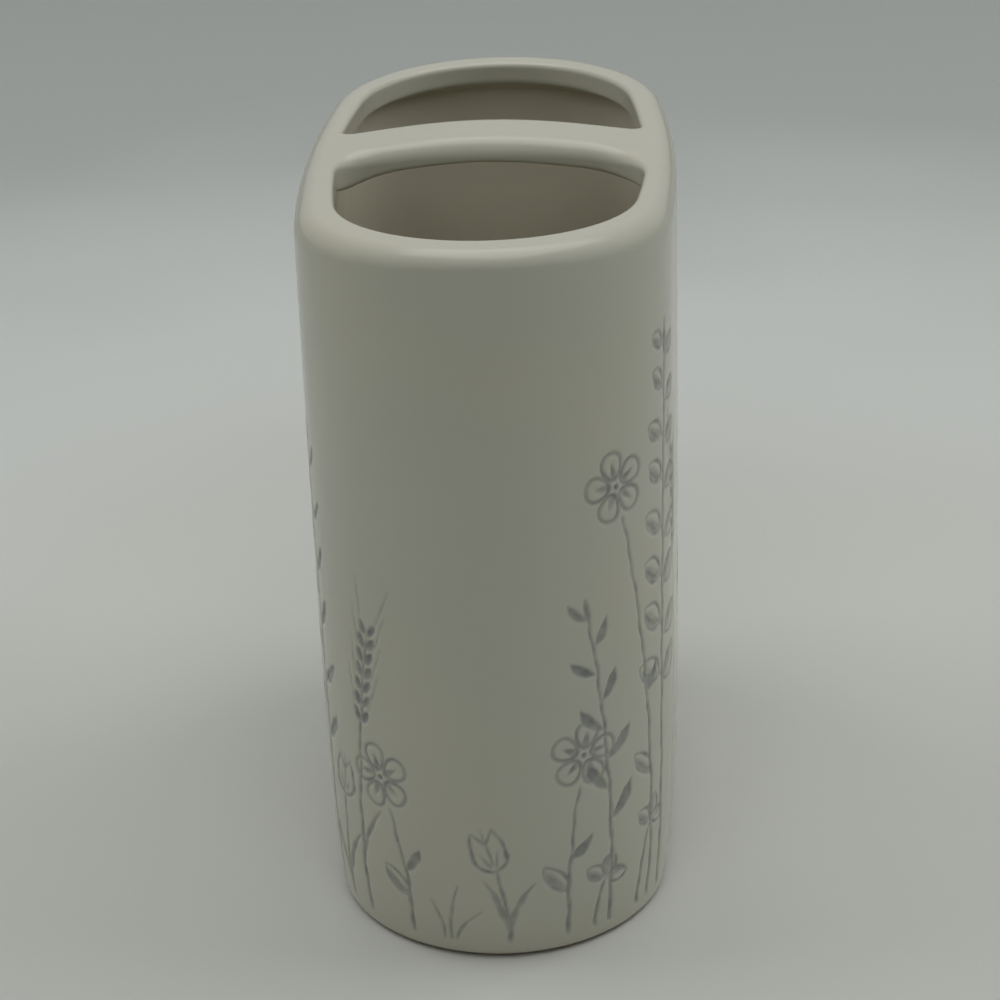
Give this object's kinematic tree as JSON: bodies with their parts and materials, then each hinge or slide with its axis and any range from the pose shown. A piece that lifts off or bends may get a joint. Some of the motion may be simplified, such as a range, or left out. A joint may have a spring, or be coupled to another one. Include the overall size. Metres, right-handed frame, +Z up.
{
  "type": "toothbrush holder",
  "caption": "Tall oval countertop holder with a crossbar that splits its mouth into two compartments for toothbrushes and toothpaste.",
  "frame": {"origin": "under the middle of the base, on the counter", "axes": "+Z up out of the mouth, +X across the narrow width, +Y along the two compartments"},
  "size_m": [0.0604, 0.1104, 0.1224],
  "materials": {
    "glaze": "glossy ivory glaze",
    "pad": "matt"
  },
  "bodies": {
    "root": {"body": "glaze", "crossbar": "glaze", "pad_front_left": "pad", "pad_front_right": "pad", "pad_rear_left": "pad", "pad_rear_right": "pad"}
  },
  "joints": []
}
